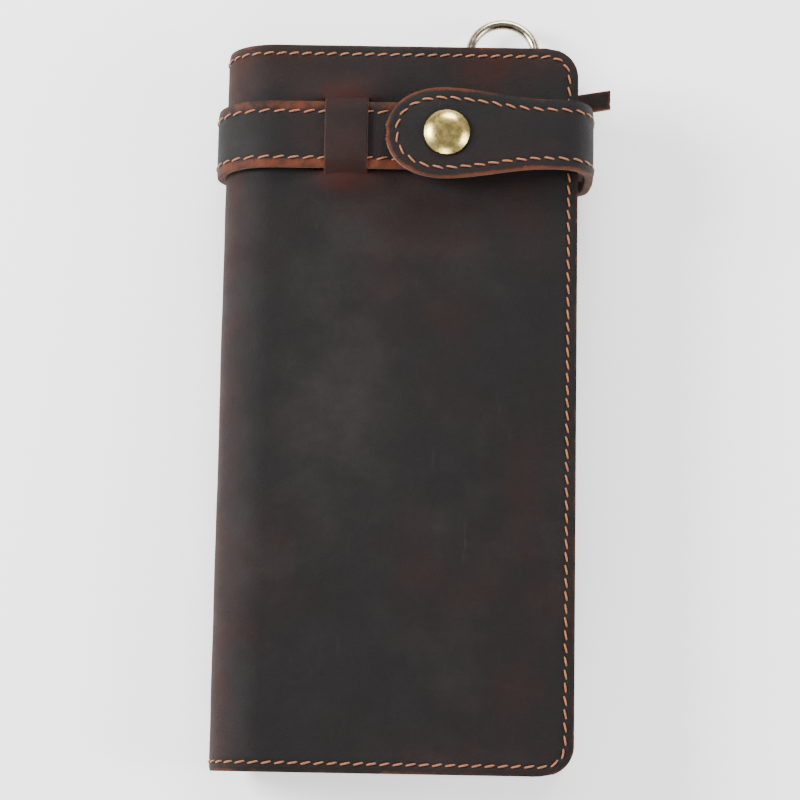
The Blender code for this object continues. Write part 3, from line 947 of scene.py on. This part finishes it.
def lathe(name, profile, centre, mat, body):
    """Turned piece: profile of (radius, height) in millimetres about a vertical axis."""
    steps = 96
    bm = bmesh.new()
    rings = []
    for radius, height in profile:
        ring = []
        for i in range(steps):
            a = 2 * math.pi * i / steps
            place = Vector((radius * math.cos(a), radius * math.sin(a), height)) + Vector(centre)
            ring.append(bm.verts.new(place * MM))
        rings.append(ring)
    quads(bm, rings, closed=True)
    bmesh.ops.remove_doubles(bm, verts=bm.verts, dist=1e-7)
    bmesh.ops.recalc_face_normals(bm, faces=bm.faces)
    obj = new_object(name, bm)
    obj.data.materials.append(mat)
    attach(obj, body)
    return obj


def make_snap():
    """Domed brass cap with a flat rolled rim."""
    low = CAP_LOW[2]
    height = CAP_HIGH[2] - low
    profile = [(0.0, height)]
    for i in range(1, 19):
        f = i / 18
        profile.append((CAP_R * 0.97 * f, 0.55 + (height - 0.55) * (1 - f ** 3.2)))
    profile += [(CAP_R, 0.42), (CAP_R, 0.20), (CAP_R * 0.985, 0.02), (0.0, 0.02)]
    cap = lathe("snap_cap_dome", profile, (SNAP_X, STRAP_Y, low), BRASS, "tab")
    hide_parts("snap_cap")


def make_ring():
    """Round wire ring that hangs from its leather loop."""
    joint = next(j for j in frame["joints"] if j["name"] == "ring_swing")
    pivot = Vector(joint["pos_m"]) / MM
    major = (RING_HIGH[0] - RING_LOW[0]) / 2 - WIRE_R
    tilt = Matrix.Rotation(math.radians(RING_REST), 3, "X")
    bm = bmesh.new()
    rings = []
    around, section = 120, 20
    for i in range(around):
        a = 2 * math.pi * i / around
        ring = []
        for j in range(section):
            b = 2 * math.pi * j / section
            r = major + WIRE_R * math.cos(b)
            local = Vector((r * math.sin(a), major - r * math.cos(a), WIRE_R * math.sin(b)))
            ring.append(bm.verts.new((tilt @ local + pivot) * MM))
        rings.append(ring)
    quads(bm, rings + [rings[0]], closed=True)
    bmesh.ops.recalc_face_normals(bm, faces=bm.faces)
    obj = new_object("chain_ring_wire", bm, "ring")
    obj.data.materials.append(RING_METAL)
    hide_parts("chain_ring")


# ---------------------------------------------------------------- inside

def make_pull():
    """Leather zip pull of two plies, grain out, with raw rust edges."""
    mid_z = (PULL_LOW[2] + PULL_HIGH[2]) / 2
    mid_y = (PULL_LOW[1] + PULL_HIGH[1]) / 2
    half_w = (PULL_HIGH[1] - PULL_LOW[1]) / 2
    start, end = PULL_LOW[0], PULL_HIGH[0]
    slope, drop = 0.16, 2.2
    path = Path([(start, mid_z), (end - 8, mid_z), (end, mid_z + 0.4)], None, 1)

    def where(u, v):
        narrow = 1.0 - 0.35 * (1 - smooth(u / 3.0))
        fray = 0.5 * noise.noise(Vector((v * 3.1, 4.0, 2.0))) * smooth((u - path.length + 2.0) / 2.0)
        return u + fray, mid_y + slope * u - drop + v * half_w * narrow

    def relief(s, y):
        return unevenness(s, y, 21.0, 0.12)

    def wear(s, y):
        d = min(half_w - abs(y - mid_y - slope * s + drop), path.length - s)
        return 0.85 * bell(d, 1.0)

    stations = spread(0.0, path.length, 0.4, 0.8, 3.0)
    rows = [-1 + 2 * i / 10 for i in range(11)]
    pull = leather_sheet("zip_pull_leather", path, stations, rows, where, 1.5,
                         relief, wear, INNER_SKIN, 0.2)
    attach(pull, "pull")
    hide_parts("zip_pull")


def make_gusset(name, body, z_cover, z_panel, lift):
    """Folded leather wall that joins a pocket panel to its cover along three edges.

    Both panels have the same outline, so both walls follow the back pocket panel's.
    """
    inset, radius = 0.6, 5.0
    x1, y0, y1 = PANEL_HIGH[0] - inset, PANEL_LOW[1] + inset, PANEL_HIGH[1] - inset
    x0 = PANEL_LOW[0] + 2
    route = [(x0, y0)]
    for cx, cy, start in ((x1 - radius, y0 + radius, -90), (x1 - radius, y1 - radius, 0)):
        for i in range(9):
            a = math.radians(start + 90 * i / 8)
            route.append((cx + radius * math.cos(a), cy + radius * math.sin(a)))
    route.append((x0, y1))
    dense = []
    for (ax, ay), (bx, by) in zip(route, route[1:]):
        count = max(1, int(math.hypot(bx - ax, by - ay) / 3.0))
        dense += [(ax + (bx - ax) * i / count, ay + (by - ay) * i / count) for i in range(count)]
    dense.append(route[-1])
    bm = bmesh.new()
    grid = []
    steps = 8
    for k, (x, y) in enumerate(dense):
        ax, ay = dense[max(k - 1, 0)]
        bx, by = dense[min(k + 1, len(dense) - 1)]
        size = math.hypot(bx - ax, by - ay) or 1.0
        nx, ny = (by - ay) / size, -(bx - ax) / size
        bottom = z_cover + (lift(y) if lift else 0.0)
        row = []
        for i in range(steps + 1):
            f = i / steps
            tuck = -1.5 * math.sin(math.pi * f) + unevenness(k * 2.0, f * 10, 31.0, 0.3)
            z = bottom + (z_panel - bottom) * f
            row.append(bm.verts.new(Vector((x + nx * tuck, y + ny * tuck, z)) * MM))
        grid.append(row)
    quads(bm, grid)
    bmesh.ops.recalc_face_normals(bm, faces=bm.faces)
    obj = new_object(name, bm, body)
    obj.data.materials.append(INNER_SKIN)
    solid = obj.modifiers.new("thickness", "SOLIDIFY")
    solid.thickness = 1.0 * MM
    solid.offset = 0
    apply_modifiers(obj)
    obj.data.shade_smooth()


def dress_cad_nodes():
    """Finer materials and softened edges for the CAD nodes that stay as they are."""
    looks = {"brass": BRASS, "ring_metal": RING_METAL, "zip_tape": TAPE,
             "inner_leather": INNER_SKIN, "pull_leather": INNER_SKIN}
    slots = {part["node"]: part["material_slot"] for part in frame["record"]["subparts"]}
    for name, obj in frame["nodes"].items():
        mat = looks.get(slots[name])
        if mat is None:
            continue
        obj.data.materials.clear()
        obj.data.materials.append(mat)
        if slots[name] in ("inner_leather", "pull_leather"):
            soften_edges(obj, 0.25)


make_covers()
make_keeper()
make_front_strap()
make_back_strap()
make_tab()
make_tab_root()
make_snap()
make_ring()
make_pull()
make_gusset("back_edge_gusset", "back", LEATHER - SEWN_IN, PANEL_LOW[2], back_lift)
make_gusset("front_edge_gusset", "front", THICK - LEATHER + SEWN_IN, CARD_PANEL_HIGH[2], None)
dress_cad_nodes()
